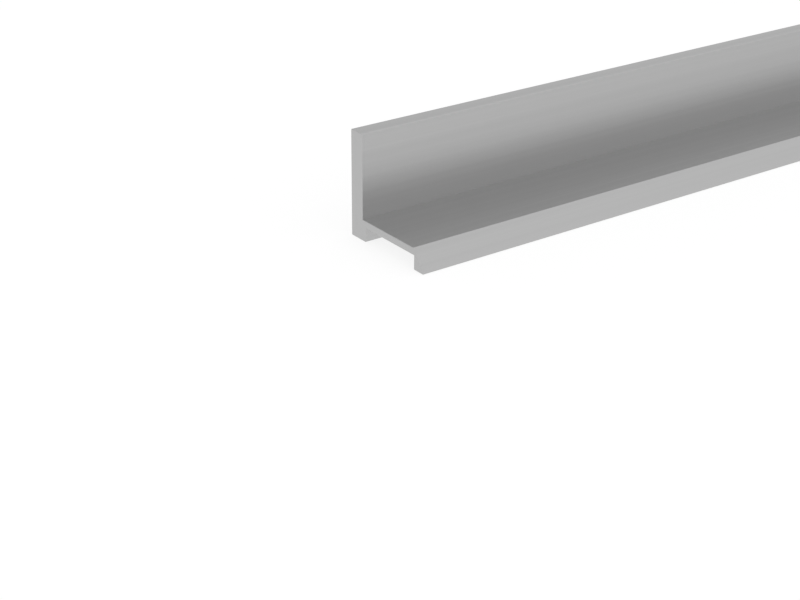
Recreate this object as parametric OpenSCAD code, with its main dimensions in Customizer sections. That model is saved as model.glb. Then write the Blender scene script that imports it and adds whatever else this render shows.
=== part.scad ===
// Aluminium extrusion profile: a thick leg on a foot, a thin web and a lip with a slanted front.
// One bar of stock with square-cut ends, standing on its foot and lip. Sizes in millimetres.
// X runs along the bar, Y from the lip to the back of the leg, Z up from the floor.

/* [Bar] */
// Length of the bar between its two cut ends
bar_length = 1000; // [200:50:3000]

/* [Section] */
// Height from the floor to the top of the leg
profile_height = 30; // [20:0.5:60]
// Width from the back of the leg to the tip of the lip
profile_width = 32; // [26:0.5:60]

/* [Leg and foot] */
// Thickness of the leg
leg_thickness = 5; // [3:0.1:8]
// Width of the foot under the leg, as far as the channel
foot_width = 6.5; // [4:0.1:9]

/* [Web and channel] */
// Thickness of the web
web_thickness = 2; // [1.2:0.1:4]
// Depth of the open channel under the web
channel_depth = 4; // [2:0.1:8]

/* [Lip] */
// Slant of the lip's front face, in degrees from upright
front_slant = 38; // [15:1:50]
// Thickness of the lip where it leaves the underside of the web
lip_neck = 1.2; // [0.9:0.1:3]

/* [Edges] */
// Radius of the outer edges
edge_radius = 0.3; // [0.1:0.05:0.5]
// Radius of the fillets in the inner corners, which the die leaves almost sharp
root_radius = 0.05; // [0.05:0.05:0.6]

/* [Hidden] */
$fn = 64;

// Heights of the web's top face and places across the section of its upright faces
web_top = channel_depth + web_thickness;
back_y = profile_width / 2;
leg_y = back_y - leg_thickness;
foot_y = back_y - foot_width;

// The lip's sharp tip stands out past the rounded one, which is what the width is measured to
tip_run = edge_radius / tan((90 - front_slant) / 2) - edge_radius;
tip_y = -profile_width / 2 - tip_run;
nose_y = tip_y + web_top * tan(front_slant);
lip_y = tip_y + channel_depth * tan(front_slant) + lip_neck;

// Sharp corners of the section, [across, up], anticlockwise from the bottom of the leg's back
corners = [
    [back_y, 0],
    [back_y, profile_height],
    [leg_y, profile_height],
    [leg_y, web_top],
    [nose_y, web_top],
    [tip_y, 0],
    [lip_y, 0],
    [lip_y, channel_depth],
    [foot_y, channel_depth],
    [foot_y, 0]
];
last_corner = len(corners) - 1;

function unit(v) = v / norm(v);

// Directions from a corner along its two sides, and whether it points out of the section
function side_before(i) = unit(corners[i == 0 ? last_corner : i - 1] - corners[i]);
function side_after(i) = unit(corners[i == last_corner ? 0 : i + 1] - corners[i]);
function is_outer(i) = cross(side_before(i), side_after(i)) < 0;

// Round at a corner: its radius, how far along the sides it starts, and its centre
function half_angle(i) = acos(side_before(i) * side_after(i)) / 2;
function round_radius(i) = is_outer(i) ? edge_radius : root_radius;
function round_reach(i) = round_radius(i) / tan(half_angle(i));
function round_to_corner(i) = round_radius(i) / sin(half_angle(i));
function round_centre(i) = corners[i] + unit(side_before(i) + side_after(i)) * round_to_corner(i);
function round_start(i) = corners[i] + side_before(i) * round_reach(i);
function round_end(i) = corners[i] + side_after(i) * round_reach(i);

// Disc that touches both sides of each corner, either of the outer or of the inner ones
module corner_discs(outer) {
    for (i = [0:last_corner])
        if (is_outer(i) == outer)
            translate(round_centre(i))
                circle(round_radius(i));
}

// The section that the die gives. Its corners are cut across from round to round, and the discs
// then fill the outer corners out and hollow the inner ones.
module section() {
    difference() {
        union() {
            polygon([for (i = [0:last_corner]) each [round_start(i), round_end(i)]]);
            corner_discs(outer = true);
        }
        corner_discs(outer = false);
    }
}

// The bar itself, lying along X with its length centred on the origin
module profile() {
    color("Silver")
        rotate([90, 0, 90])
            linear_extrude(height = bar_length, center = true)
                section();
}

profile();
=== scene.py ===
"""Looks of an aluminium extrusion profile, as the die and the saw leave it, in a plain studio.

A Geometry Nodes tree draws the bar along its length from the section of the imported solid.
"""

import logging
import math
from dataclasses import dataclass
from enum import Enum
from typing import Any

import bmesh
import bpy
from mathutils import Matrix, Vector


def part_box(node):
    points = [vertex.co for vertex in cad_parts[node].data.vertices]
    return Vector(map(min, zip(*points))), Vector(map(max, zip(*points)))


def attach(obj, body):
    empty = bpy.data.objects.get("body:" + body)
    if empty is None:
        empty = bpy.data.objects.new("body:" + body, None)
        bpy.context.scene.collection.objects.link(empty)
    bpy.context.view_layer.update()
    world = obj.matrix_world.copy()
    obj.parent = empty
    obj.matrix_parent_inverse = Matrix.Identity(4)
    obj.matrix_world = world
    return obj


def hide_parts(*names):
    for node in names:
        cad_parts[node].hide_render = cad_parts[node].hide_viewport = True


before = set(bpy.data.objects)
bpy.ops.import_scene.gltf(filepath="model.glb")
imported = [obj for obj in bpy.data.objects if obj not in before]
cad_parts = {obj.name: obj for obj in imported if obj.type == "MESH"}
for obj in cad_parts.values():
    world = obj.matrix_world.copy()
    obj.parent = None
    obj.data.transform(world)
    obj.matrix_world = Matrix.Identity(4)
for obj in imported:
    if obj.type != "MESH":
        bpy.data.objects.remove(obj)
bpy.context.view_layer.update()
MM = 0.001
NOISE_SPAN = (0.25, 0.75)  # Nearly all of a noise pattern lies between these two values.
END_FACING = 0.9  # A face whose direction has more than this share along X is part of a cut end.
LOG = logging.getLogger("extrusion_profile")

Linear = tuple[float, float, float, float]


class BarEnd(Enum):
    """The two cut ends, each with the way that it faces along X."""

    NEAR = -1.0
    FAR = 1.0


def linear(code: str) -> Linear:
    """Turns an sRGB hex colour into linear light.

    Args:
        code: Colour such as "#B5B5B5".

    Returns:
        Red, green, blue and an alpha of 1.
    """
    shares = [int(code[i : i + 2], 16) / 255 for i in (1, 3, 5)]
    red, green, blue = (c / 12.92 if c <= 0.04045 else ((c + 0.055) / 1.055) ** 2.4 for c in shares)
    return red, green, blue, 1.0


def add_node(
    tree: bpy.types.NodeTree, kind: str, inputs: dict[str | int, Any] | None = None, **settings: Any
) -> bpy.types.Node:
    """Adds a node to a tree, with its settings, values and links.

    Args:
        tree: Shader or geometry tree that takes the node.
        kind: Blender's type name for the node.
        inputs: Input sockets by name or number, each with its value or the output that feeds it.
        **settings: The node's own properties.

    Returns:
        The new node.
    """
    node = tree.nodes.new(kind)
    for name, value in settings.items():
        setattr(node, name, value)
    for key, value in (inputs or {}).items():
        if isinstance(value, bpy.types.NodeSocket):
            tree.links.new(value, node.inputs[key])
        else:
            node.inputs[key].default_value = value
    return node


def empty_material(name: str) -> tuple[bpy.types.Material, bpy.types.NodeTree]:
    """Makes a material with no nodes.

    Args:
        name: Name of the material.

    Returns:
        The material and its node tree.
    """
    material = bpy.data.materials.new(name)
    material.use_nodes = True
    material.node_tree.nodes.clear()
    return material, material.node_tree


@dataclass(frozen=True)
class AluminiumFinish:
    """A bare aluminium surface: a narrow range of greys and of roughness, and a shallow relief."""

    name: str
    pale: str
    deep: str
    roughness: float
    roughness_spread: float
    rim_share: float  # Share of a polished metal's brightness at a glancing angle.
    relief_depth: float
    octaves: float

    def add_patterns(
        self, tree: bpy.types.NodeTree, place: bpy.types.NodeSocket
    ) -> tuple[bpy.types.NodeSocket, bpy.types.NodeSocket]:
        """Adds the finish's own patterns, which each kind of finish gives.

        Args:
            tree: The material's tree.
            place: Object coordinates.

        Returns:
            The pattern of its greys, and the pattern of its gloss and relief.
        """
        raise NotImplementedError

    def material(self) -> bpy.types.Material:
        """Builds the material.

        Returns:
            A metal whose grey, roughness and relief follow the finish's patterns.
        """
        material, tree = empty_material(self.name)
        place = add_node(tree, "ShaderNodeTexCoord").outputs["Object"]
        greys, marks = self.add_patterns(tree, place)
        # Sockets 6 and 7 are the two colours of the mix, and output 2 is the mixed one.
        tone = add_node(
            tree,
            "ShaderNodeMix",
            {0: greys, 6: linear(self.deep), 7: linear(self.pale)},
            data_type="RGBA",
        )
        gloss = add_node(
            tree,
            "ShaderNodeMapRange",
            {
                "Value": marks,
                "From Min": NOISE_SPAN[0],
                "From Max": NOISE_SPAN[1],
                "To Min": self.roughness - self.roughness_spread,
                "To Max": self.roughness + self.roughness_spread,
            },
        )
        relief = add_node(
            tree,
            "ShaderNodeBump",
            {"Height": marks, "Strength": 1.0, "Distance": self.relief_depth},
        )
        metal = add_node(
            tree,
            "ShaderNodeBsdfPrincipled",
            {
                "Base Color": tone.outputs[2],
                "Metallic": 1.0,
                "Roughness": gloss.outputs[0],
                "Specular Tint": (self.rim_share, self.rim_share, self.rim_share, 1.0),
                "Normal": relief.outputs[0],
            },
        )
        add_node(tree, "ShaderNodeOutputMaterial", {"Surface": metal.outputs[0]})
        return material


@dataclass(frozen=True)
class ExtrudedAluminium(AluminiumFinish):
    """Aluminium as it leaves the die: a satin grey skin, drawn into fine lines along the bar.

    The lines give the eye faint streaks that never cross the length, and blur what the skin
    reflects, so that the two faces of the angle shade each other softly. Its thin oxide takes some
    of the brightness that a polished metal has at a glancing angle.
    """

    name: str = "extruded_aluminium"
    pale: str = "#BEBEBE"
    deep: str = "#B4B4B4"
    roughness: float = 0.345
    roughness_spread: float = 0.04
    rim_share: float = 0.9
    relief_depth: float = 0.004 * MM
    octaves: float = 2.0
    streak_width: float = 1.6 * MM
    streak_length: float = 700 * MM
    line_width: float = 0.30 * MM  # Real lines are finer: this is as fine as the render can show.
    line_length: float = 240 * MM

    def add_patterns(
        self, tree: bpy.types.NodeTree, place: bpy.types.NodeSocket
    ) -> tuple[bpy.types.NodeSocket, bpy.types.NodeSocket]:
        """Adds broad streaks and fine lines, both drawn out along X.

        Args:
            tree: The material's tree.
            place: Object coordinates.

        Returns:
            The streaks for the greys, and the lines for the gloss and relief.
        """
        patterns = []
        for length, width in (
            (self.streak_length, self.streak_width),
            (self.line_length, self.line_width),
        ):
            drawn = add_node(
                tree,
                "ShaderNodeMapping",
                {"Vector": place, "Scale": (1 / length, 1 / width, 1 / width)},
            )
            noise = add_node(
                tree,
                "ShaderNodeTexNoise",
                {"Vector": drawn.outputs[0], "Scale": 1.0, "Detail": self.octaves},
            )
            patterns.append(noise.outputs[0])
        return patterns[0], patterns[1]


@dataclass(frozen=True)
class SawnAluminium(AluminiumFinish):
    """Aluminium where the saw has cut it: bare metal with the arcs that the teeth leave.

    The arcs give the eye a fine grain across the cut ends, whose gloss wavers from arc to arc.
    """

    name: str = "sawn_aluminium"
    pale: str = "#BCBCBC"
    deep: str = "#B3B3B3"
    roughness: float = 0.36
    roughness_spread: float = 0.06
    rim_share: float = 1.0
    relief_depth: float = 0.006 * MM
    octaves: float = 3.0
    arc_pitch: float = 0.5 * MM
    blade_radius: float = 150 * MM
    feed_tilt: float = 20.0

    def add_patterns(
        self, tree: bpy.types.NodeTree, place: bpy.types.NodeSocket
    ) -> tuple[bpy.types.NodeSocket, bpy.types.NodeSocket]:
        """Adds arcs round the blade's axis, which lies along X above the bar.

        Args:
            tree: The material's tree.
            place: Object coordinates.

        Returns:
            The arcs, both for the greys and for the gloss and relief.
        """
        tilt = math.radians(self.feed_tilt)
        hub = (0.0, -self.blade_radius * math.sin(tilt), self.blade_radius * math.cos(tilt))
        across = add_node(
            tree, "ShaderNodeVectorMath", {0: place, 1: (0.0, 1.0, 1.0)}, operation="MULTIPLY"
        )
        radius = add_node(
            tree, "ShaderNodeVectorMath", {0: across.outputs[0], 1: hub}, operation="DISTANCE"
        )
        turns = add_node(
            tree,
            "ShaderNodeMath",
            {0: radius.outputs["Value"], 1: self.arc_pitch},
            operation="DIVIDE",
        )
        arcs = add_node(
            tree,
            "ShaderNodeTexNoise",
            {"W": turns.outputs[0], "Scale": 1.0, "Detail": self.octaves},
            noise_dimensions="1D",
        )
        return arcs.outputs[0], arcs.outputs[0]


@dataclass(frozen=True)
class WhitePaper:
    """Matt white paper: white to the camera but for a soft shadow, and plain white in the metal."""

    paper: str = "#F0F0F0"
    glow: float = 0.825  # Light that the camera sees even in the shadow.
    shade: float = 0.2  # Share that the camera sees of the light that falls on the paper.

    def material(self) -> bpy.types.Material:
        """Builds the floor's material.

        Returns:
            The material, lifted to white only for what is seen directly or in a reflection.
        """
        material, tree = empty_material("white_paper")
        path = add_node(tree, "ShaderNodeLightPath").outputs
        mirrored = add_node(
            tree,
            "ShaderNodeMath",
            {0: path["Is Glossy Ray"], 1: path["Is Transmission Ray"]},
            operation="MAXIMUM",
        )
        plain = add_node(tree, "ShaderNodeBsdfDiffuse", {"Color": linear(self.paper)})
        shaded = add_node(
            tree, "ShaderNodeBsdfDiffuse", {"Color": (self.shade, self.shade, self.shade, 1.0)}
        )
        glow = add_node(tree, "ShaderNodeEmission", {"Strength": self.glow})
        lifted = add_node(tree, "ShaderNodeAddShader", {0: shaded.outputs[0], 1: glow.outputs[0]})
        direct = add_node(
            tree,
            "ShaderNodeMixShader",
            {0: path["Is Camera Ray"], 1: plain.outputs[0], 2: lifted.outputs[0]},
        )
        white = add_node(tree, "ShaderNodeEmission", {"Strength": 1.0})
        shown = add_node(
            tree,
            "ShaderNodeMixShader",
            {0: mirrored.outputs[0], 1: direct.outputs[0], 2: white.outputs[0]},
        )
        add_node(tree, "ShaderNodeOutputMaterial", {"Surface": shown.outputs[0]})
        return material


@dataclass
class ExtrudedBar:
    """The bar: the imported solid's section, drawn along its length and sawn at both ends."""

    node: str = "profile"
    slot: str = "aluminium"
    section_end: BarEnd = BarEnd.NEAR
    point_gap: float = 0.02 * MM  # Points of the solid that are closer than this are one.
    least_turn: float = 0.05  # Sine of the turn that tells an inner corner from a straight side.
    point_spacing: float = 0.25 * MM
    ring_spacing: float = 20 * MM
    deburr: float = 0.12 * MM
    line_pitch: float = 0.9 * MM
    line_length: float = 240 * MM
    line_depth: float = 0.004 * MM
    line_octaves: float = 2.0
    line_seed: float = 3.0
    crease: float = 30.0
    skin: AluminiumFinish = ExtrudedAluminium()
    cut: AluminiumFinish = SawnAluminium()

    @property
    def length(self) -> float:
        """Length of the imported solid."""
        low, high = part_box(self.node)
        return high[0] - low[0]

    def section(self) -> list[Vector]:
        """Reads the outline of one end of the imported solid.

        Returns:
            Its points in order, anticlockwise with Y to the right and Z up, with X at 0.
        """
        solid = bmesh.new()
        solid.from_mesh(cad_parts[self.node].data)
        bmesh.ops.remove_doubles(solid, verts=solid.verts, dist=self.point_gap)
        outward = self.section_end.value
        on_end = {face for face in solid.faces if face.normal.x * outward > END_FACING}
        rim = [edge for edge in solid.edges if len(on_end.intersection(edge.link_faces)) == 1]
        beside: dict[bmesh.types.BMVert, list[bmesh.types.BMVert]] = {}
        for edge in rim:
            for vert in edge.verts:
                beside.setdefault(vert, []).append(edge.other_vert(vert))
        walk = [rim[0].verts[0], rim[0].verts[1]]
        while len(walk) < len(rim):
            walk.append(next(vert for vert in beside[walk[-1]] if vert is not walk[-2]))
        points = [Vector((0.0, vert.co.y, vert.co.z)) for vert in walk]
        solid.free()
        turn = sum(a.y * b.z - b.y * a.z for a, b in zip(points, points[1:] + points[:1]))
        return points if turn > 0 else points[::-1]

    def sharpen(self, points: list[Vector]) -> list[Vector]:
        """Draws the inner corners sharp, because their fillets are too fine to show.

        Args:
            points: The outline in order, anticlockwise.

        Returns:
            The outline, with one point in place of each fillet.
        """
        count = len(points)
        sides = [points[(i + 1) % count] - points[i] for i in range(count)]
        straight = [side.length > self.point_spacing for side in sides]
        outline = []
        for i, point in enumerate(points):
            into = sides[i - 1]
            if into.normalized().cross(sides[i].normalized()).x > -self.least_turn:
                outline.append(point)
            elif straight[i - 1]:
                # A fillet starts where one straight side ends, and runs to the start of the next.
                last = next(j for j in range(i - count, i) if straight[j])
                reach = (points[last] - point).cross(sides[last]).x / into.cross(sides[last]).x
                outline.append(point + into * reach)
        return outline

    def section_wire(self) -> bpy.types.Object:
        """Makes the section a closed wire that the tree draws from.

        Returns:
            The wire, in the YZ plane.
        """
        points = self.sharpen(self.section())
        mesh = bpy.data.meshes.new("section_wire")
        mesh.from_pydata(points, [(i, (i + 1) % len(points)) for i in range(len(points))], [])
        wire = bpy.data.objects.new("section_wire", mesh)
        bpy.context.scene.collection.objects.link(wire)
        return wire

    def tree(self) -> bpy.types.GeometryNodeTree:
        """Builds the tree that draws the section along the bar.

        Returns:
            The tree, with the bar's section, sizes and finishes as named inputs.
        """
        tree = bpy.data.node_groups.new("drawn_bar", "GeometryNodeTree")
        for name, kind in (
            ("Section", "NodeSocketObject"),
            ("Length", "NodeSocketFloat"),
            ("Point Spacing", "NodeSocketFloat"),
            ("Ring Spacing", "NodeSocketFloat"),
            ("Deburr", "NodeSocketFloat"),
            ("Line Pitch", "NodeSocketFloat"),
            ("Line Length", "NodeSocketFloat"),
            ("Line Depth", "NodeSocketFloat"),
            ("Line Seed", "NodeSocketFloat"),
            ("Crease", "NodeSocketFloat"),
            ("Skin", "NodeSocketMaterial"),
            ("Cut", "NodeSocketMaterial"),
        ):
            tree.interface.new_socket(name=name, in_out="INPUT", socket_type=kind)
        tree.interface.new_socket(name="Bar", in_out="OUTPUT", socket_type="NodeSocketGeometry")
        given = add_node(tree, "NodeGroupInput").outputs
        outline = self.add_outline(tree, given)
        drawn = self.add_sweep(tree, given, outline)
        eased = self.add_deburr(tree, given, drawn)
        lined = self.add_die_lines(tree, given, eased)
        self.add_finishes(tree, given, lined)
        return tree

    def add_outline(
        self, tree: bpy.types.NodeTree, given: bpy.types.NodeOutputs
    ) -> bpy.types.NodeSocket:
        """Adds the nodes that make the wire a curve with points close enough for die lines.

        Args:
            tree: The bar's tree.
            given: Outputs of its group input.

        Returns:
            The curve, with the way into the metal stored on its points.
        """
        wire = add_node(tree, "GeometryNodeObjectInfo", {"Object": given["Section"]})
        curve = add_node(tree, "GeometryNodeMeshToCurve", {"Mesh": wire.outputs["Geometry"]})
        here = add_node(tree, "GeometryNodeInputPosition").outputs[0]
        following = add_node(tree, "GeometryNodeOffsetPointInCurve", {"Offset": 1})
        there = add_node(
            tree,
            "GeometryNodeFieldAtIndex",
            {"Index": following.outputs["Point Index"], "Value": here},
            data_type="FLOAT_VECTOR",
        )
        step = add_node(
            tree, "ShaderNodeVectorMath", {0: here, 1: there.outputs[0]}, operation="DISTANCE"
        )
        cuts = add_node(
            tree,
            "ShaderNodeMath",
            {0: step.outputs["Value"], 1: given["Point Spacing"]},
            operation="DIVIDE",
        )
        fine = add_node(
            tree, "GeometryNodeSubdivideCurve", {"Curve": curve.outputs[0], "Cuts": cuts.outputs[0]}
        )
        tangent = add_node(tree, "GeometryNodeInputTangent").outputs[0]
        inward = add_node(
            tree,
            "ShaderNodeVectorMath",
            {0: (1.0, 0.0, 0.0), 1: tangent},
            operation="CROSS_PRODUCT",
        )
        marked = add_node(
            tree,
            "GeometryNodeStoreNamedAttribute",
            {"Geometry": fine.outputs[0], "Name": "inward", "Value": inward.outputs[0]},
            data_type="FLOAT_VECTOR",
        )
        return marked.outputs[0]

    def add_sweep(
        self, tree: bpy.types.NodeTree, given: bpy.types.NodeOutputs, outline: bpy.types.NodeSocket
    ) -> bpy.types.NodeSocket:
        """Adds the nodes that draw the outline along X, short of both ends by the deburred edge.

        Args:
            tree: The bar's tree.
            given: Outputs of its group input.
            outline: The section's curve, in the YZ plane.

        Returns:
            The bar as a closed mesh.
        """
        here = add_node(tree, "GeometryNodeInputPosition").outputs[0]
        parts = add_node(tree, "ShaderNodeSeparateXYZ", {0: here}).outputs
        flat = add_node(tree, "ShaderNodeCombineXYZ", {"X": parts["Y"], "Y": parts["Z"]})
        turned = add_node(
            tree, "ShaderNodeVectorMath", {0: flat.outputs[0], "Scale": -1.0}, operation="SCALE"
        )
        profile = add_node(
            tree, "GeometryNodeSetPosition", {"Geometry": outline, "Position": turned.outputs[0]}
        )
        half = add_node(tree, "ShaderNodeMath", {0: given["Length"], 1: 0.5}, operation="MULTIPLY")
        reach = add_node(
            tree, "ShaderNodeMath", {0: half.outputs[0], 1: given["Deburr"]}, operation="SUBTRACT"
        )
        far = add_node(tree, "ShaderNodeCombineXYZ", {"X": reach.outputs[0]})
        near = add_node(
            tree, "ShaderNodeVectorMath", {0: far.outputs[0], "Scale": -1.0}, operation="SCALE"
        )
        line = add_node(
            tree,
            "GeometryNodeCurvePrimitiveLine",
            {"Start": near.outputs[0], "End": far.outputs[0]},
        )
        rings = add_node(
            tree,
            "ShaderNodeMath",
            {0: given["Length"], 1: given["Ring Spacing"]},
            operation="DIVIDE",
        )
        path = add_node(
            tree, "GeometryNodeResampleCurve", {"Curve": line.outputs[0], "Count": rings.outputs[0]}
        )
        drawn = add_node(
            tree,
            "GeometryNodeCurveToMesh",
            {"Curve": path.outputs[0], "Profile Curve": profile.outputs[0], "Fill Caps": True},
        )
        return drawn.outputs[0]

    def add_deburr(
        self, tree: bpy.types.NodeTree, given: bpy.types.NodeOutputs, drawn: bpy.types.NodeSocket
    ) -> bpy.types.NodeSocket:
        """Adds the nodes that draw each end out to its cut and slope its edge into the metal.

        Args:
            tree: The bar's tree.
            given: Outputs of its group input.
            drawn: The bar's mesh, short of its cuts.

        Returns:
            The bar at its full length.
        """
        ends = add_node(
            tree,
            "GeometryNodeExtrudeMesh",
            {
                "Mesh": drawn,
                "Selection": self.add_end_mask(tree),
                "Offset Scale": given["Deburr"],
                "Individual": False,
            },
            mode="FACES",
        )
        inward = add_node(
            tree, "GeometryNodeInputNamedAttribute", {"Name": "inward"}, data_type="FLOAT_VECTOR"
        )
        slope = add_node(
            tree,
            "ShaderNodeVectorMath",
            {0: inward.outputs[0], "Scale": given["Deburr"]},
            operation="SCALE",
        )
        eased = add_node(
            tree,
            "GeometryNodeSetPosition",
            {
                "Geometry": ends.outputs["Mesh"],
                "Selection": ends.outputs["Top"],
                "Offset": slope.outputs[0],
            },
        )
        return eased.outputs[0]

    def add_die_lines(
        self, tree: bpy.types.NodeTree, given: bpy.types.NodeOutputs, bar: bpy.types.NodeSocket
    ) -> bpy.types.NodeSocket:
        """Adds the nodes that press shallow lines into the skin, each fading out along the bar.

        Args:
            tree: The bar's tree.
            given: Outputs of its group input.
            bar: The bar's mesh.

        Returns:
            The bar with its die lines.
        """
        here = add_node(tree, "GeometryNodeInputPosition").outputs[0]
        cell = add_node(
            tree,
            "ShaderNodeCombineXYZ",
            {"X": given["Line Length"], "Y": given["Line Pitch"], "Z": given["Line Pitch"]},
        )
        places = add_node(
            tree, "ShaderNodeVectorMath", {0: here, 1: cell.outputs[0]}, operation="DIVIDE"
        )
        lines = add_node(
            tree,
            "ShaderNodeTexNoise",
            {
                "Vector": places.outputs[0],
                "W": given["Line Seed"],
                "Scale": 1.0,
                "Detail": self.line_octaves,
            },
            noise_dimensions="4D",
        )
        depth = add_node(
            tree,
            "ShaderNodeMath",
            {0: lines.outputs[0], 1: given["Line Depth"]},
            operation="MULTIPLY",
        )
        inward = add_node(
            tree, "GeometryNodeInputNamedAttribute", {"Name": "inward"}, data_type="FLOAT_VECTOR"
        )
        press = add_node(
            tree,
            "ShaderNodeVectorMath",
            {0: inward.outputs[0], "Scale": depth.outputs[0]},
            operation="SCALE",
        )
        lined = add_node(
            tree, "GeometryNodeSetPosition", {"Geometry": bar, "Offset": press.outputs[0]}
        )
        clean = add_node(
            tree, "GeometryNodeRemoveAttribute", {"Geometry": lined.outputs[0], "Name": "inward"}
        )
        return clean.outputs[0]

    def add_end_mask(self, tree: bpy.types.NodeTree) -> bpy.types.NodeSocket:
        """Adds the nodes that pick the faces of the two cut ends.

        Args:
            tree: The bar's tree.

        Returns:
            True on faces that look straight along the bar.
        """
        facing = add_node(tree, "GeometryNodeInputNormal").outputs[0]
        along = add_node(tree, "ShaderNodeSeparateXYZ", {0: facing}).outputs["X"]
        steep = add_node(tree, "ShaderNodeMath", {0: along}, operation="ABSOLUTE")
        ends = add_node(
            tree, "ShaderNodeMath", {0: steep.outputs[0], 1: END_FACING}, operation="GREATER_THAN"
        )
        return ends.outputs[0]

    def add_finishes(
        self, tree: bpy.types.NodeTree, given: bpy.types.NodeOutputs, bar: bpy.types.NodeSocket
    ) -> None:
        """Adds the nodes that smooth the skin between its edges and give the bar its two finishes.

        Args:
            tree: The bar's tree.
            given: Outputs of its group input.
            bar: The bar's mesh.
        """
        smooth = add_node(tree, "GeometryNodeSetShadeSmooth", {"Geometry": bar}, domain="FACE")
        angle = add_node(tree, "GeometryNodeInputMeshEdgeAngle").outputs["Unsigned Angle"]
        limit = add_node(tree, "ShaderNodeMath", {0: given["Crease"]}, operation="RADIANS")
        sharp = add_node(
            tree, "ShaderNodeMath", {0: angle, 1: limit.outputs[0]}, operation="GREATER_THAN"
        )
        creased = add_node(
            tree,
            "GeometryNodeSetShadeSmooth",
            {"Geometry": smooth.outputs[0], "Selection": sharp.outputs[0], "Shade Smooth": False},
            domain="EDGE",
        )
        real = add_node(tree, "GeometryNodeRealizeInstances", {"Geometry": creased.outputs[0]})
        skinned = add_node(
            tree,
            "GeometryNodeSetMaterial",
            {"Geometry": real.outputs[0], "Material": given["Skin"]},
        )
        finished = add_node(
            tree,
            "GeometryNodeSetMaterial",
            {
                "Geometry": skinned.outputs[0],
                "Selection": self.add_end_mask(tree),
                "Material": given["Cut"],
            },
        )
        add_node(tree, "NodeGroupOutput", {"Bar": finished.outputs[0]})

    def build(self) -> bpy.types.Object:
        """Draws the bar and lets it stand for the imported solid.

        Returns:
            The bar as a plain mesh at the origin.
        """
        bar = bpy.data.objects.new("extruded_bar", bpy.data.meshes.new("extruded_bar"))
        bpy.context.scene.collection.objects.link(bar)
        wire = self.section_wire()
        tree = self.tree()
        drawing = bar.modifiers.new("drawn_bar", "NODES")
        drawing.node_group = tree
        values = {
            "Section": wire,
            "Length": self.length,
            "Point Spacing": self.point_spacing,
            "Ring Spacing": self.ring_spacing,
            "Deburr": self.deburr,
            "Line Pitch": self.line_pitch,
            "Line Length": self.line_length,
            "Line Depth": self.line_depth,
            "Line Seed": self.line_seed,
            "Crease": self.crease,
            "Skin": self.skin.material(),
            "Cut": self.cut.material(),
        }
        for item in tree.interface.items_tree:
            if item.in_out == "INPUT":
                drawing[item.identifier] = values[item.name]
        bpy.context.view_layer.update()
        shown = bar.evaluated_get(bpy.context.evaluated_depsgraph_get())
        bar.data = bpy.data.meshes.new_from_object(shown)
        bar.data.name = "extruded_bar"
        bar.modifiers.clear()
        bpy.data.objects.remove(wire)
        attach(bar, "root")
        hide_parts(self.node)
        return bar


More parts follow.
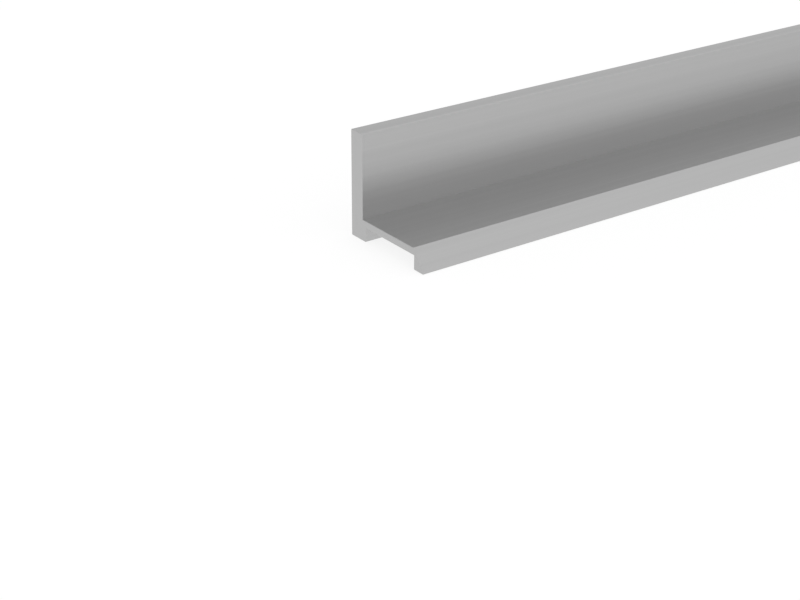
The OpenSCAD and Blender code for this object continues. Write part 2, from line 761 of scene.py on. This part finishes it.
@dataclass
class Studio:
    """White paper floor and soft light from all round, which falls off towards the back."""

    floor_side: float = 20.0
    floor_gap: float = 0.05 * MM
    front_level: float = 0.97
    back_level: float = 0.79
    turn: float = -0.2  # Share along Y of the direction in which the light starts to fall off.
    paper: WhitePaper = WhitePaper()

    def build_floor(self) -> bpy.types.Object:
        """Lays the floor just under the bar.

        Returns:
            The floor.
        """
        mesh = bpy.data.meshes.new("studio_floor")
        half = self.floor_side / 2
        ring = ((-half, -half), (half, -half), (half, half), (-half, half))
        mesh.from_pydata([(x, y, -self.floor_gap) for x, y in ring], [], [(0, 1, 2, 3)])
        mesh.materials.append(self.paper.material())
        floor = bpy.data.objects.new("studio_floor", mesh)
        bpy.context.scene.collection.objects.link(floor)
        return floor

    def build_light(self) -> bpy.types.World:
        """Lights the studio from its walls, even at the front and dimmer from the turn to the back.

        Returns:
            The world, in use by the scene.
        """
        world = bpy.data.worlds.new("studio_light")
        world.use_nodes = True
        tree = world.node_tree
        tree.nodes.clear()
        way = add_node(tree, "ShaderNodeTexCoord").outputs["Generated"]
        parts = add_node(tree, "ShaderNodeSeparateXYZ", {0: way}).outputs
        level = add_node(
            tree,
            "ShaderNodeMapRange",
            {
                "Value": parts["Y"],
                "From Min": self.turn,
                "From Max": 1.0,
                "To Min": self.front_level,
                "To Max": self.back_level,
            },
        )
        walls = add_node(
            tree,
            "ShaderNodeBackground",
            {"Color": (1.0, 1.0, 1.0, 1.0), "Strength": level.outputs[0]},
        )
        add_node(tree, "ShaderNodeOutputWorld", {"Surface": walls.outputs[0]})
        bpy.context.scene.world = world
        return world


@dataclass
class PhotoCamera:
    """Camera at the photograph's place, worked out from the edges of the bar in it."""

    eye: tuple[float, float, float] = (-719.4 * MM, -306.9 * MM, 167.6 * MM)
    azimuth: float = 36.107
    elevation: float = 25.612
    roll: float = 0.321
    lens: float = 71.06
    sensor: float = 36.0
    clip_start: float = 1 * MM

    def build(self) -> bpy.types.Object:
        """Sets the camera up and makes it the scene's own.

        Returns:
            The camera.
        """
        data = bpy.data.cameras.new("photo_camera")
        data.sensor_fit = "HORIZONTAL"
        data.sensor_width = self.sensor
        data.lens = self.lens
        data.clip_start = self.clip_start
        camera = bpy.data.objects.new("photo_camera", data)
        swing = Matrix.Rotation(-math.radians(self.azimuth), 4, "Z")
        tip = Matrix.Rotation(math.radians(90.0 - self.elevation), 4, "X")
        lean = Matrix.Rotation(math.radians(self.roll), 4, "Z")
        camera.matrix_world = Matrix.Translation(self.eye) @ swing @ tip @ lean
        bpy.context.scene.collection.objects.link(camera)
        bpy.context.scene.camera = camera
        return camera


def main() -> None:
    """Builds the camera, the bar and the studio in order."""
    logging.basicConfig(level=logging.INFO, format="%(name)s: %(message)s")
    bpy.context.scene.view_settings.view_transform = "Standard"
    camera = PhotoCamera().build()
    LOG.info("%s at %s m", camera.name, tuple(round(c, 3) for c in camera.matrix_world.translation))
    bar = ExtrudedBar().build()
    LOG.info("%s with %d faces", bar.name, len(bar.data.polygons))
    studio = Studio()
    floor = studio.build_floor()
    LOG.info("%s, %.0f m square", floor.name, studio.floor_side)
    world = studio.build_light()
    LOG.info("%s, from %.2f down to %.2f", world.name, studio.front_level, studio.back_level)


if __name__ == "__main__":
    main()
